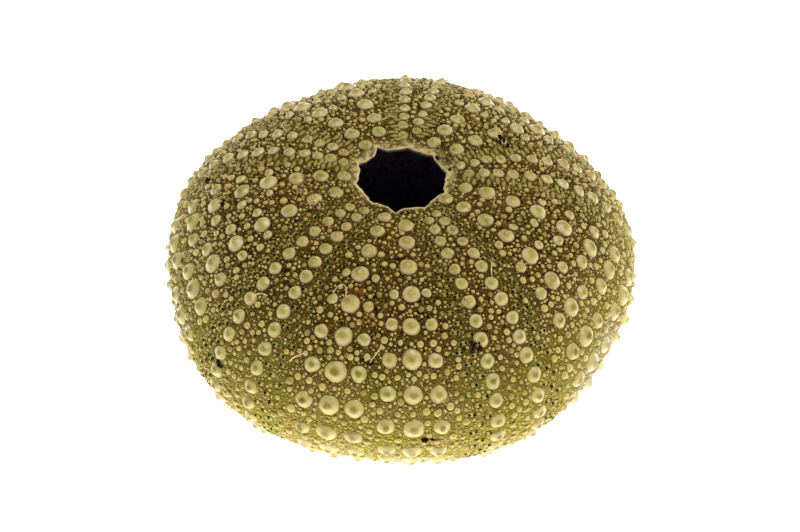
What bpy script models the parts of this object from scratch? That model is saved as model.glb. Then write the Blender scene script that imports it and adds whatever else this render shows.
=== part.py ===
"""Sea urchin shell: the bare, dry test of a shore urchin, with its spines and apical disc lost.

The shell is one grown piece: a low hollow dome, open at the top where the apical disc fell out and open
underneath at the mouth. Five interambulacra and five ambulacra run from pole to pole, each with two columns
of plates, and every plate carries one primary tubercle. Lengths are in millimetres until they are placed.
"""

import math
import random

import bmesh
import bpy
import numpy as np
from mathutils import Vector
from mathutils.geometry import delaunay_2d_cdt

MM = 0.001

# Outer wall from the apical opening, over the ambitus, to the mouth: radius and height of a few points
MERIDIAN = (
    (4.05, 22.08),
    (6.8, 22.3),
    (9.1, 22.1),
    (13.6, 21.0),
    (18.2, 18.2),
    (21.55, 14.1),
    (22.75, 10.45),
    (22.05, 6.9),
    (18.9, 2.75),
    (14.6, 0.6),
    (11.7, 0.15),
    (8.4, 1.45),
)
STEPS_PER_SPAN = 24

# Thickness of the wall at the apical rim, in the flank and at the mouth
APICAL_EDGE = 0.55
WALL = 1.1
MOUTH_EDGE = 0.8
EDGE_TAPER = 4.0

# Rims: points round each, how deep the notch at each sector's middle cuts into the apical rim, starting
# with the first interambulacrum, and how deep the ten gill notches cut into the mouth
RIM_POINTS = 50
APICAL_NOTCHES = (0.75, 0.4, 0.42, 0.35, 0.35, 0.25, 0.75, 0.5, 0.4, 0.1)
APICAL_POINTEDNESS = 1.5
MOUTH_NOTCH = 0.55
MOUTH_POINTEDNESS = 4.0
NOTCH_REACH = 2.2
INNER_ROWS = 8

# The sectors: the first interambulacrum faces a little left of the front, each ambulacrum lies between two.
# Columns are placed by their angle from the middle of their own sector
SECTORS = 5
SECTOR = math.radians(72.0)
FIRST_SECTOR = math.radians(-6.1)
AMBULACRAL_BULGE = 0.42
BULGE_AT = FIRST_SECTOR + SECTOR / 2
INTERAMBULACRAL_COLUMN = math.radians(10.4)
AMBULACRAL_COLUMN = math.radians(5.6)
INNER_SECONDARY = math.radians(3.9)
OUTER_SECONDARY = math.radians(16.8)

# How far each column starts from the first row, in plates: left and right column of each sector
FIRST_INTERAMBULACRAL_ROW = 6.85
INTERAMBULACRAL_PHASE = ((0.43, 0.0), (0.24, -0.18), (0.0, 0.45), (-0.05, 0.4), (-0.4, 0.03))
FIRST_AMBULACRAL_ROW = 7.1
AMBULACRAL_PHASE = (0.45, 0.0)

# Plate height along the meridian: the tallest plate, where it is, and how much it loses a span away
INTERAMBULACRAL_PLATE = (3.36, 23.2, 18.2, 1.25)
AMBULACRAL_PLATE = (2.04, 27.2, 19.3, 0.59)

# Tubercles: base radius near the apical rim and at the ambitus. Secondary ones stand beside the primaries
# of the flank, and their share of the primary's size grows from where they begin to the ambitus
PRIMARY_BASE = (0.64, 0.96)
AMBULACRAL_BASE = (0.46, 0.74)
SECONDARY_SHARE = (0.5, 0.88)
SECONDARY_FROM = 12.0
SECONDARY_TO = 36.0
GROWN_AT = 24.0
GROWTH_POWER = 0.6
MOUTH_SHRINK = 0.3
APICAL_CLEARANCE = 0.05
MOUTH_CLEARANCE = 0.35

# Their form: height as a share of base radius, near the apical rim and at the ambitus, and the shoulder
# under the rounded top of a primary
TUBERCLE_HEIGHT = (0.64, 0.53)
SHOULDER_RADIUS = 0.45
SHOULDER_HEIGHT = 0.76
PRIMARY_SIDES = 6
SMALL_SIDES = 5
SIDE_TURN = math.radians(137.5)

# Grown unevenly: how far each tubercle strays along and across its column, and how its size varies
GROWTH_SEED = 11
STRAY = 0.1
SIZE_SPREAD = 0.06


def catmull_rom(points, steps):
    """Evenly stepped points of a smooth curve through the given ones."""
    ends = [2 * np.subtract(points[0], points[1]) + points[1]] + [np.array(p, float) for p in points]
    ends.append(2 * ends[-1] - ends[-2])
    curve = []
    for before, start, end, after in zip(ends, ends[1:], ends[2:], ends[3:]):
        for step in range(steps):
            t = step / steps
            curve.append(
                0.5
                * (
                    2 * start
                    + (end - before) * t
                    + (2 * before - 5 * start + 4 * end - after) * t**2
                    + (3 * start - 3 * end + after - before) * t**3
                )
            )
    curve.append(ends[-2])
    return np.array(curve)


class Meridian:
    """The outer wall's curve, read by length along it from the axis."""

    def __init__(self, points):
        curve = catmull_rom(points, STEPS_PER_SPAN)
        step = np.hypot(*np.diff(curve, axis=0).T)
        self.length = points[0][0] + np.concatenate([[0.0], np.cumsum(step)])
        self.radius, self.height = curve.T
        self.tangent = np.gradient(curve, self.length, axis=0)
        stretch = np.concatenate([[0.0], np.cumsum(step * 2 / (self.radius[1:] + self.radius[:-1]))])
        self.chart = np.exp(stretch)
        self.start, self.end = self.length[0], self.length[-1]
        self.widest = self.radius.max()

    def read(self, values, at):
        return float(np.interp(at, self.length, values))

    def point(self, at, azimuth, proud=0.0):
        """A point of the wall, raised along the wall's outward normal."""
        along_r, along_z = (self.read(self.tangent[:, k], at) for k in (0, 1))
        size = math.hypot(along_r, along_z)
        radius = self.read(self.radius, at) - proud * along_z / size
        radius += AMBULACRAL_BULGE * (radius / self.widest) ** 2 * math.cos(SECTORS * (azimuth - BULGE_AT))
        height = self.read(self.height, at) + proud * along_r / size
        return Vector((radius * math.sin(azimuth), -radius * math.cos(azimuth), height))

    def on_chart(self, at, azimuth):
        """The same point laid flat without changing angles, for the triangulation."""
        return Vector((math.sin(azimuth), -math.cos(azimuth))) * self.read(self.chart, at)


def rim_shift(meridian, at, azimuth):
    """How far the notches of the apical rim and of the mouth move a point along the meridian."""
    lobe = (azimuth - FIRST_SECTOR) / (SECTOR / 2)
    nearest = round(lobe)
    aside = 2 * abs(lobe - nearest)
    apical = APICAL_NOTCHES[nearest % len(APICAL_NOTCHES)] * (1 - aside) ** APICAL_POINTEDNESS
    near_apex = math.exp(-(((at - meridian.start) / NOTCH_REACH) ** 2))
    near_mouth = math.exp(-(((meridian.end - at) / NOTCH_REACH) ** 2))
    return apical * near_apex - MOUTH_NOTCH * aside**MOUTH_POINTEDNESS * near_mouth


def plate_rows(meridian, first, plate, phase):
    """Places of the tubercles down one column, one to a plate."""
    tallest, tallest_at, span, loss = plate

    def height(at):
        return tallest - loss * ((at - tallest_at) / span) ** 2

    rows = [first + (phase - 1) * height(first)]
    while rows[-1] + height(rows[-1]) < meridian.end:
        rows.append(rows[-1] + height(rows[-1]))
    return rows


def base_radius(sizes, at, meridian):
    """Base radius of a tubercle: it grows to the ambitus and shrinks again near the mouth."""
    near_rim, grown = sizes
    growth = min(1.0, max(0.0, (at - meridian.start) / (GROWN_AT - meridian.start)))
    shrink = 1.0 - MOUTH_SHRINK * max(0.0, (at - GROWN_AT) / (meridian.end - GROWN_AT)) ** 2
    return (near_rim + (grown - near_rim) * growth**GROWTH_POWER) * shrink


def tubercles(meridian):
    """Every tubercle as (place, azimuth, base radius, kind)."""
    chance = random.Random(GROWTH_SEED)
    found = []

    def grow(at, azimuth, base, kind):
        size = base * chance.uniform(1 - SIZE_SPREAD, 1 + SIZE_SPREAD)
        place = at + chance.uniform(-STRAY, STRAY)
        turned = azimuth + chance.uniform(-STRAY, STRAY) / meridian.read(meridian.radius, at)
        if meridian.start + size + APICAL_CLEARANCE < place < meridian.end - size - MOUTH_CLEARANCE:
            found.append((place, turned, size, kind))

    for sector, phases in enumerate(INTERAMBULACRAL_PHASE):
        middle = FIRST_SECTOR + sector * SECTOR
        for side, phase in zip((-1, 1), phases):
            for at in plate_rows(meridian, FIRST_INTERAMBULACRAL_ROW, INTERAMBULACRAL_PLATE, phase):
                base = base_radius(PRIMARY_BASE, at, meridian)
                grow(at, middle + side * INTERAMBULACRAL_COLUMN, base, "primary")
                if SECONDARY_FROM < at < SECONDARY_TO:
                    secondary = base * float(np.interp(at, (SECONDARY_FROM, GROWN_AT), SECONDARY_SHARE))
                    grow(at, middle + side * INNER_SECONDARY, secondary, "small")
                    grow(at, middle + side * OUTER_SECONDARY, secondary, "small")
    for sector in range(SECTORS):
        middle = FIRST_SECTOR + (sector + 0.5) * SECTOR
        for side, phase in zip((-1, 1), AMBULACRAL_PHASE):
            for at in plate_rows(meridian, FIRST_AMBULACRAL_ROW, AMBULACRAL_PLATE, phase):
                base = base_radius(AMBULACRAL_BASE, at, meridian)
                grow(at, middle + side * AMBULACRAL_COLUMN, base, "small")
    return found


def ring(meridian, at, azimuth, radius, count, turn, proud):
    """Points of a small circle on the wall, as (place, azimuth, proud)."""
    points = []
    for k in range(count):
        angle = turn + 2 * math.pi * k / count
        place = at + radius * math.cos(angle)
        points.append((place, azimuth + radius * math.sin(angle) / meridian.read(meridian.radius, at), proud))
    return points


def outer_points(meridian):
    """The wall's points: both rims, the suture between paired columns above the flank, and every tubercle."""
    points = []
    for at in (meridian.start, meridian.end):
        points += [(at, FIRST_SECTOR + 2 * math.pi * k / RIM_POINTS, 0.0) for k in range(RIM_POINTS)]
    for sector in range(SECTORS):
        rows = plate_rows(meridian, FIRST_INTERAMBULACRAL_ROW, INTERAMBULACRAL_PLATE, 0.5)
        points += [(at, FIRST_SECTOR + sector * SECTOR, 0.0) for at in rows if at < SECONDARY_FROM]
    for index, (at, azimuth, base, kind) in enumerate(tubercles(meridian)):
        turn = index * SIDE_TURN
        height = base * float(np.interp(at, (meridian.start, GROWN_AT), TUBERCLE_HEIGHT))
        if kind == "primary":
            shoulder = base * SHOULDER_RADIUS
            points += ring(meridian, at, azimuth, base, PRIMARY_SIDES, turn, 0.0)
            points += ring(meridian, at, azimuth, shoulder, PRIMARY_SIDES, turn, height * SHOULDER_HEIGHT)
        else:
            points += ring(meridian, at, azimuth, base, SMALL_SIDES, turn, 0.0)
        points.append((at, azimuth, height))
    return points


def wall_thickness(meridian, at):
    """Full in the flank, thinner towards both rims."""
    at_apex = (WALL - APICAL_EDGE) * math.exp(-(at - meridian.start) / EDGE_TAPER)
    at_mouth = (WALL - MOUTH_EDGE) * math.exp(-(meridian.end - at) / EDGE_TAPER)
    return WALL - at_apex - at_mouth


def placed(meridian, at, azimuth, proud):
    """A point in metres, worn flat where a tubercle would pass through the surface the shell rests on."""
    point = meridian.point(at + rim_shift(meridian, at, azimuth), azimuth, proud)
    point.z = max(point.z, 0.0)
    return point * MM


def add_outer_wall(bm, meridian):
    """Joins the wall's points into triangles and returns the two rims as loops of edges."""
    points = outer_points(meridian)
    chart = [meridian.on_chart(at, azimuth) for at, azimuth, _ in points]
    _, _, triangles, origin, _, _ = delaunay_2d_cdt(chart, [], [], 0, 1e-9, True)
    made = [bm.verts.new(placed(meridian, *points[ids[0]])) for ids in origin]
    on_apical_rim = {v for v, ids in zip(made, origin) if ids[0] < RIM_POINTS}
    for corners in triangles:
        face = [made[k] for k in corners]
        if not on_apical_rim.issuperset(face):
            bm.faces.new(face)
    open_edges = [e for e in bm.edges if e.is_boundary]
    apical = [e for e in open_edges if on_apical_rim.issuperset(e.verts)]
    mouth = [e for e in open_edges if not on_apical_rim.issuperset(e.verts)]
    return apical, mouth


def add_inner_wall(bm, meridian, apical, mouth):
    """Extrudes the apical rim down the inside, row by row, and bridges the last row to the mouth's rim."""
    edges = apical
    for row in range(INNER_ROWS):
        at = meridian.start + (meridian.end - meridian.start) * row / (INNER_ROWS - 1)
        thickness = wall_thickness(meridian, at)
        grown = bmesh.ops.extrude_edge_only(bm, edges=edges)["geom"]
        edges = [g for g in grown if isinstance(g, bmesh.types.BMEdge)]
        for vertex in (g for g in grown if isinstance(g, bmesh.types.BMVert)):
            azimuth = math.atan2(vertex.co.x, -vertex.co.y)
            vertex.co = meridian.point(at + rim_shift(meridian, at, azimuth), azimuth, -thickness) * MM
    bmesh.ops.bridge_loops(bm, edges=edges + mouth)


def shell_material():
    material = bpy.data.materials.new("olive_calcite")
    material.use_nodes = True
    surface = material.node_tree.nodes["Principled BSDF"]
    surface.inputs["Base Color"].default_value = (0.40, 0.35, 0.13, 1.0)
    surface.inputs["Roughness"].default_value = 0.6
    surface.inputs["Metallic"].default_value = 0.0
    return material


def build_shell():
    meridian = Meridian(MERIDIAN)
    bm = bmesh.new()
    apical, mouth = add_outer_wall(bm, meridian)
    add_inner_wall(bm, meridian, apical, mouth)
    bmesh.ops.recalc_face_normals(bm, faces=bm.faces)
    mesh = bpy.data.meshes.new("urchin_shell")
    bm.to_mesh(mesh)
    bm.free()
    mesh.materials.append(shell_material())
    shell = bpy.data.objects.new("urchin_shell", mesh)
    bpy.context.scene.collection.objects.link(shell)
    return shell


for old in list(bpy.data.objects):
    bpy.data.objects.remove(old)
build_shell()
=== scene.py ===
"""Sea urchin shell: the look of the bare, dry test, grown over the frame's solid.

One spun wall carries everything: the large tubercles stand where the solid has them, and between them come
smaller tubercles, granules, beads and the pore pairs of the five ambulacra. Lengths are in millimetres until
they are placed.
"""

import itertools
import math
import random

import bmesh
import bpy
import numpy as np
from mathutils import Matrix, Quaternion, Vector, noise


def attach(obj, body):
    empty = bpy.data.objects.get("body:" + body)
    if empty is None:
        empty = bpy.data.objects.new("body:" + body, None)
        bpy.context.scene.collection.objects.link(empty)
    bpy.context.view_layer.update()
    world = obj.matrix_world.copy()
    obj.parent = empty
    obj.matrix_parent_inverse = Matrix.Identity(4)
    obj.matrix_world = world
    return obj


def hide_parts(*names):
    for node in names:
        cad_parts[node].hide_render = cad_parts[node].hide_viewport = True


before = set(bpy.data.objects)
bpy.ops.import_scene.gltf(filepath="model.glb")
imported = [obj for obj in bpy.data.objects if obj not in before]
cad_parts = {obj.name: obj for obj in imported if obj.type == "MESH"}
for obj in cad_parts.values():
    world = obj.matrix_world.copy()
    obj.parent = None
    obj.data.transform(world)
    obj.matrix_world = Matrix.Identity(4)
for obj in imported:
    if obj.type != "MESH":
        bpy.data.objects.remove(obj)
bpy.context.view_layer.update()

MM = 0.001
AMBITUS = 10.45

# The solid's own dimensions: meridian of the outer wall as radius and height, wall, rims and sectors
MERIDIAN = (
    (4.05, 22.08),
    (6.8, 22.3),
    (9.1, 22.1),
    (13.6, 21.0),
    (18.2, 18.2),
    (21.55, 14.1),
    (22.75, 10.45),
    (22.05, 6.9),
    (18.9, 2.75),
    (14.6, 0.6),
    (11.7, 0.15),
    (8.4, 1.45),
)
STEPS_PER_SPAN = 24
APICAL_EDGE = 0.55
WALL = 1.1
MOUTH_EDGE = 0.8
EDGE_TAPER = 4.0
APICAL_NOTCHES = (0.75, 0.4, 0.42, 0.35, 0.35, 0.25, 0.75, 0.5, 0.4, 0.1)
APICAL_POINTEDNESS = 1.5
MOUTH_NOTCH = 0.55
MOUTH_POINTEDNESS = 4.0
NOTCH_REACH = 2.2
SECTORS = 5
SECTOR = math.radians(72.0)
FIRST_SECTOR = math.radians(-6.1)
AMBULACRAL_BULGE = 0.42
BULGE_AT = FIRST_SECTOR + SECTOR / 2
INTERAMBULACRAL_COLUMN = math.radians(10.4)
AMBULACRAL_COLUMN = math.radians(5.6)
INNER_SECONDARY = math.radians(3.9)
OUTER_SECONDARY = math.radians(16.8)
FIRST_INTERAMBULACRAL_ROW = 6.85
INTERAMBULACRAL_PHASE = ((0.43, 0.0), (0.24, -0.18), (0.0, 0.45), (-0.05, 0.4), (-0.4, 0.03))
FIRST_AMBULACRAL_ROW = 7.1
AMBULACRAL_PHASE = (0.45, 0.0)
INTERAMBULACRAL_PLATE = (3.36, 23.2, 18.2, 1.25)
AMBULACRAL_PLATE = (2.04, 27.2, 19.3, 0.59)
PRIMARY_BASE = (0.64, 0.96)
AMBULACRAL_BASE = (0.46, 0.74)
SECONDARY_SHARE = (0.5, 0.88)
SECONDARY_FROM = 12.0
SECONDARY_TO = 36.0
GROWN_AT = 24.0
GROWTH_POWER = 0.6
MOUTH_SHRINK = 0.3
APICAL_CLEARANCE = 0.05
MOUTH_CLEARANCE = 0.35
TUBERCLE_HEIGHT = (0.64, 0.53)
GROWTH_SEED = 11
STRAY = 0.1
SIZE_SPREAD = 0.06

# The fine wall lies a little under the solid's, whose surface is at the tips of the beads
WALL_DEPTH = 0.15
WALL_SWELL = 0.05
SWELL_WAVES = 0.9
TIP_WEAR = 0.09
RIM_BAND = (0.12, 0.4)
RIM_BAND_TURN = (math.radians(40), math.radians(95))
RIM_CLEARANCE = 0.8
RIM_WEAR = 0.16
RIM_WEAR_WAVES = ((0.8, 1.0), (2.6, 0.6))
RIM_ROUNDING = 0.25
RIM_WEAR_REACH = 0.9
SEAM_WIDTH = 0.26
PORE_ZONE_INSIDE = (5.5, 8.0)
PORE_ZONE_OUTSIDE = (15.5, 13.0)
RIM_BAND_FADE = (3.5, 0.5)
RIM_EDGE_FADE = (0.18, 0.04)
WALL_STEPS = 400
OUTER_ROWS = 190
INNER_ROWS = 40


def catmull_rom(points, steps):
    """Evenly stepped points of a smooth curve through the given ones."""
    ends = [2 * np.subtract(points[0], points[1]) + points[1]] + [np.array(p, float) for p in points]
    ends.append(2 * ends[-1] - ends[-2])
    curve = []
    for before, start, end, after in zip(ends, ends[1:], ends[2:], ends[3:]):
        for step in range(steps):
            t = step / steps
            curve.append(
                0.5
                * (
                    2 * start
                    + (end - before) * t
                    + (2 * before - 5 * start + 4 * end - after) * t**2
                    + (3 * start - 3 * end + after - before) * t**3
                )
            )
    curve.append(ends[-2])
    return np.array(curve)


class Meridian:
    """The outer wall's curve, read by length along it from the axis, out of evenly spaced samples."""

    SAMPLES = 4000

    def __init__(self, points):
        curve = catmull_rom(points, STEPS_PER_SPAN)
        step = np.hypot(*np.diff(curve, axis=0).T)
        length = points[0][0] + np.concatenate([[0.0], np.cumsum(step)])
        tangent = np.gradient(curve, length, axis=0)
        self.start, self.end = float(length[0]), float(length[-1])
        self.length = np.linspace(self.start, self.end, self.SAMPLES)
        self.spacing = (self.end - self.start) / (self.SAMPLES - 1)
        self.radius, self.height = (np.interp(self.length, length, c).tolist() for c in curve.T)
        self.along_r, self.along_z = (np.interp(self.length, length, c).tolist() for c in tangent.T)
        self.widest = float(curve[:, 0].max())

    def read(self, values, at):
        """One of the sampled lists at a place."""
        steps = (at - self.start) / self.spacing
        k = min(max(int(steps), 0), self.SAMPLES - 2)
        return values[k] + (values[k + 1] - values[k]) * min(max(steps - k, 0.0), 1.0)

    def normal(self, at, azimuth):
        """The outward direction of the wall."""
        along_r, along_z = self.read(self.along_r, at), self.read(self.along_z, at)
        size = math.hypot(along_r, along_z)
        out, up = -along_z / size, along_r / size
        return Vector((out * math.sin(azimuth), -out * math.cos(azimuth), up))

    def point(self, at, azimuth, proud=0.0):
        """A point of the wall, raised along the wall's outward normal."""
        along_r, along_z = self.read(self.along_r, at), self.read(self.along_z, at)
        size = math.hypot(along_r, along_z)
        radius = self.read(self.radius, at) - proud * along_z / size
        radius += AMBULACRAL_BULGE * (radius / self.widest) ** 2 * math.cos(SECTORS * (azimuth - BULGE_AT))
        height = self.read(self.height, at) + proud * along_r / size
        return Vector((radius * math.sin(azimuth), -radius * math.cos(azimuth), height))

    def turn(self, across, at):
        """The angle that a distance across the wall takes there."""
        return across / self.read(self.radius, at)


meridian = Meridian(MERIDIAN)


def rim_shift(at, azimuth):
    """How far the notches of the apical rim and of the mouth move a point along the meridian."""
    lobe = (azimuth - FIRST_SECTOR) / (SECTOR / 2)
    nearest = round(lobe)
    aside = 2 * abs(lobe - nearest)
    apical = APICAL_NOTCHES[nearest % len(APICAL_NOTCHES)] * (1 - aside) ** APICAL_POINTEDNESS
    near_apex = math.exp(-(((at - meridian.start) / NOTCH_REACH) ** 2))
    near_mouth = math.exp(-(((meridian.end - at) / NOTCH_REACH) ** 2))
    return apical * near_apex - MOUTH_NOTCH * aside**MOUTH_POINTEDNESS * near_mouth


def plate_height(plate, at):
    """Height of a plate of one kind at a place on the meridian."""
    tallest, tallest_at, span, loss = plate
    return tallest - loss * ((at - tallest_at) / span) ** 2


def plate_rows(first, plate, phase):
    """Places of the tubercles down one column, one to a plate."""
    rows = [first + (phase - 1) * plate_height(plate, first)]
    while rows[-1] + plate_height(plate, rows[-1]) < meridian.end:
        rows.append(rows[-1] + plate_height(plate, rows[-1]))
    return rows


def base_radius(sizes, at):
    """Base radius of a tubercle: it grows to the ambitus and shrinks again near the mouth."""
    near_rim, grown = sizes
    growth = min(1.0, max(0.0, (at - meridian.start) / (GROWN_AT - meridian.start)))
    shrink = 1.0 - MOUTH_SHRINK * max(0.0, (at - GROWN_AT) / (meridian.end - GROWN_AT)) ** 2
    return (near_rim + (grown - near_rim) * growth**GROWTH_POWER) * shrink


def interambulacral_columns():
    """(middle of the sector, side, places of the rows) of each column of the interambulacra."""
    for sector, phases in enumerate(INTERAMBULACRAL_PHASE):
        for side, phase in zip((-1, 1), phases):
            rows = plate_rows(FIRST_INTERAMBULACRAL_ROW, INTERAMBULACRAL_PLATE, phase)
            yield FIRST_SECTOR + sector * SECTOR, side, rows


def ambulacral_columns():
    """The same for the ambulacra, which lie between the other sectors."""
    for sector in range(SECTORS):
        for side, phase in zip((-1, 1), AMBULACRAL_PHASE):
            rows = plate_rows(FIRST_AMBULACRAL_ROW, AMBULACRAL_PLATE, phase)
            yield FIRST_SECTOR + (sector + 0.5) * SECTOR, side, rows


def solid_tubercles():
    """The solid's tubercles as (place, azimuth, base radius), in the order in which they grow there."""
    chance = random.Random(GROWTH_SEED)
    found = []

    def grow(at, azimuth, base):
        size = base * chance.uniform(1 - SIZE_SPREAD, 1 + SIZE_SPREAD)
        place = at + chance.uniform(-STRAY, STRAY)
        turned = azimuth + chance.uniform(-STRAY, STRAY) / meridian.read(meridian.radius, at)
        if meridian.start + size + APICAL_CLEARANCE < place < meridian.end - size - MOUTH_CLEARANCE:
            found.append((place, turned, size))

    for middle, side, rows in interambulacral_columns():
        for at in rows:
            base = base_radius(PRIMARY_BASE, at)
            grow(at, middle + side * INTERAMBULACRAL_COLUMN, base)
            if SECONDARY_FROM < at < SECONDARY_TO:
                secondary = base * float(np.interp(at, (SECONDARY_FROM, GROWN_AT), SECONDARY_SHARE))
                grow(at, middle + side * INNER_SECONDARY, secondary)
                grow(at, middle + side * OUTER_SECONDARY, secondary)
    for middle, side, rows in ambulacral_columns():
        for at in rows:
            grow(at, middle + side * AMBULACRAL_COLUMN, base_radius(AMBULACRAL_BASE, at))
    return found


class Crowd:
    """What already grows on the wall, so that a newcomer is only let in where there is room."""

    CELL = 0.5
    WIDEST_NEWCOMER = 0.6

    def __init__(self):
        self.cells = {}

    def cell(self, point):
        return tuple(int(math.floor(c / self.CELL)) for c in point)

    def room(self, point, radius, gap):
        """Whether a knob of that radius keeps its gap to all the others."""
        near = self.cells.get(self.cell(point), ())
        return all((point - other).length >= radius + size + gap for other, size in near)

    def add(self, point, radius):
        """Enters a knob in every cell from which a newcomer could touch it."""
        reach = Vector((1, 1, 1)) * (radius + self.WIDEST_NEWCOMER)
        low, high = self.cell(point - reach), self.cell(point + reach)
        for cell in itertools.product(*(range(a, b + 1) for a, b in zip(low, high))):
            self.cells.setdefault(cell, []).append((point, radius))


def smoothstep(low, high, value):
    """0 at the low value, 1 at the high one, smooth between."""
    t = min(1.0, max(0.0, (value - low) / (high - low)))
    return t * t * (3 - 2 * t)


def from_front(azimuth):
    """How far an azimuth is turned away from the front, to either side."""
    return abs((azimuth + math.pi) % (2 * math.pi) - math.pi)


def rim_band(azimuth):
    """Width of the smooth band at the apical rim: narrow in front, broad at the sides and behind."""
    narrow, broad = RIM_BAND
    return narrow + (broad - narrow) * smoothstep(*RIM_BAND_TURN, from_front(azimuth))


def swell(at, azimuth):
    """The plates are not quite even: how far the wall rises there."""
    return WALL_SWELL * noise.noise(meridian.point(at, azimuth) * SWELL_WAVES)


class Growth:
    """Lists of knobs of one kind: where each stands, which way it points, how wide and tall it is."""

    def __init__(self, crowd, seed):
        self.crowd = crowd
        self.chance = random.Random(seed)
        self.knobs = []

    def grow(self, at, azimuth, radius, height, gap=None, spin=None, stretch=1.0, tone=None):
        """Adds a knob and says so, unless a gap is asked for and there is no room or it would crowd a rim."""
        if gap is not None:
            margin = radius * RIM_CLEARANCE + rim_band(azimuth)
            if not meridian.start + margin < at < meridian.end - radius - MOUTH_CLEARANCE / 2:
                return False
        shifted = at + rim_shift(at, azimuth)
        foot = meridian.point(shifted, azimuth, swell(at, azimuth) - WALL_DEPTH)
        if gap is not None and not self.crowd.room(foot, radius, gap):
            return False
        self.crowd.add(foot, radius)
        up = meridian.normal(shifted, azimuth)
        across = Vector((math.cos(azimuth), math.sin(azimuth), 0.0))
        upright = Matrix((across, up.cross(across), up)).transposed().to_quaternion()
        angle = self.chance.uniform(0, 2 * math.pi) if spin is None else spin
        turn = (upright @ Quaternion((0, 0, 1), angle)).to_euler()
        size = (radius * stretch, radius, height)
        self.knobs.append((foot, turn, size, self.chance.random() if tone is None else tone))
        return True


crowd = Crowd()
large, pores, medium, granules, beads, pads, sand, crumbs = (Growth(crowd, seed) for seed in range(1, 9))


LARGE_STRETCH = (0.92, 1.04)


def grow_large():
    """The solid's own tubercles."""
    for at, azimuth, base in solid_tubercles():
        share = float(np.interp(at, (meridian.start, GROWN_AT), TUBERCLE_HEIGHT))
        tall = base * share + WALL_DEPTH - swell(at, azimuth) - TIP_WEAR
        large.grow(at, azimuth, base, tall, stretch=large.chance.uniform(*LARGE_STRETCH))


# Pore pairs: how far down and aside of the plate's tubercle each of the three stands, and their sizes
PORE_ARC = ((-0.75, 1.0), (-0.05, 1.8), (0.78, 2.42))
PORE_RADIUS = 0.145
PORE_SIZES = (0.85, 1.1)
PORE_SPACING = 0.255
PORE_STRAY = 0.03
PORE_RISE = 0.155
PAD_RADIUS = 0.25
PAD_RISE = 0.12
PAD_STRETCH = 2.3
PAD_OVERLAP = 0.16
SMALLEST_PAD = 0.6
NARROWEST_ARC = 0.35
ARC_FROM_APEX = (0.5, 40)
# Pores are open in front and filled behind, between these azimuths
FILLED_FROM = math.radians(62) - 0.2
FILLED_TO = math.radians(62) + 0.3
FILLING = 0.75
SUNK = 0.45
LOOSE_DIRT = (-1.5, 0.7)
ARC_BEAD_DOWN = 0.4
ARC_BEAD_ASIDE = 1.55


def full_size(at, growth):
    """Share of the full size that a thing has reached, by its place, from what it has at the apex."""
    at_apex, reach = growth
    return min(1.0, at_apex + at / reach)


def grow_pore_pair(place, azimuth, smaller):
    """A pad with two pores in a ring each, unless there is no room for the pad."""
    radius = PAD_RADIUS * smaller
    if not pads.grow(place, azimuth, radius, PAD_RISE, gap=-PAD_OVERLAP, spin=0.0, stretch=PAD_STRETCH):
        return
    filled = FILLING * smoothstep(FILLED_FROM, FILLED_TO, from_front(azimuth))
    for half in (-PORE_SPACING, PORE_SPACING):
        turned = azimuth + meridian.turn(half * smaller, place)
        radius = PORE_RADIUS * smaller * pores.chance.uniform(*PORE_SIZES)
        dirt = max(filled, pores.chance.uniform(*LOOSE_DIRT))
        tall = PORE_RISE * (1 - SUNK * filled)
        pores.grow(place + pores.chance.uniform(-PORE_STRAY, PORE_STRAY), turned, radius, tall, tone=dirt)


def grow_pores():
    """Three pore pairs to an ambulacral plate, in an arc that ends at a bead, whose place comes back."""
    arc_ends = []
    for middle, side, rows in ambulacral_columns():
        column = middle + side * AMBULACRAL_COLUMN
        for at in rows:
            scale = min(1.0, plate_height(AMBULACRAL_PLATE, at) / AMBULACRAL_PLATE[0])
            smaller = SMALLEST_PAD + (1 - SMALLEST_PAD) * scale
            for down, across in PORE_ARC:
                place = at + down * scale
                narrower = NARROWEST_ARC + (1 - NARROWEST_ARC) * scale
                reach = across * narrower * full_size(at, ARC_FROM_APEX)
                grow_pore_pair(place, column + side * meridian.turn(reach, place), smaller)
            aside = meridian.turn(ARC_BEAD_ASIDE * scale, at)
            arc_ends.append((at + ARC_BEAD_DOWN * scale, column + side * aside))
    return arc_ends


# Medium tubercles beside the interambulacral columns: offset from the sector's middle, share of a plate down,
# radius, and the places between which the series runs
SERIES = (
    (INNER_SECONDARY, 0.0, 0.5, 6.0, SECONDARY_FROM),
    (OUTER_SECONDARY, 0.0, 0.42, 7.0, SECONDARY_FROM),
    (math.radians(19.7), 0.35, 0.42, 10.0, 45.0),
    (math.radians(2.0), 0.5, 0.36, 6.0, 45.0),
    (math.radians(6.6), 0.5, 0.36, 6.0, 45.0),
    (math.radians(13.2), 0.5, 0.34, 8.0, 45.0),
    (math.radians(16.0), 0.5, 0.34, 12.0, 45.0),
    (math.radians(10.2), 0.5, 0.26, 12.0, 45.0),
    (math.radians(7.2), -0.12, 0.2, 14.0, 45.0),
    (math.radians(13.8), 0.1, 0.2, 14.0, 45.0),
)
SERIES_STRAY = 0.22
SERIES_STRAY_ASIDE = 0.2
SERIES_SIZES = (0.75, 1.15)
SERIES_GROWTH = (0.55, 45)
SERIES_TALLNESS = 0.75
# Between the two pore zones of an ambulacrum
BETWEEN_PORES_DOWN = (0.0, 0.5)
BETWEEN_PORES_STRAY = 0.15
BETWEEN_PORES_SIZES = (0.22, 0.36)
BETWEEN_PORES_ASIDE = (0.55, 0.85)
ONE_COLUMN_TO = 12
ARC_BEAD_SIZES = (0.13, 0.2)
ARC_BEAD_TALLNESS = 0.9
ARC_BEAD_OVERLAP = 0.02
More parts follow.
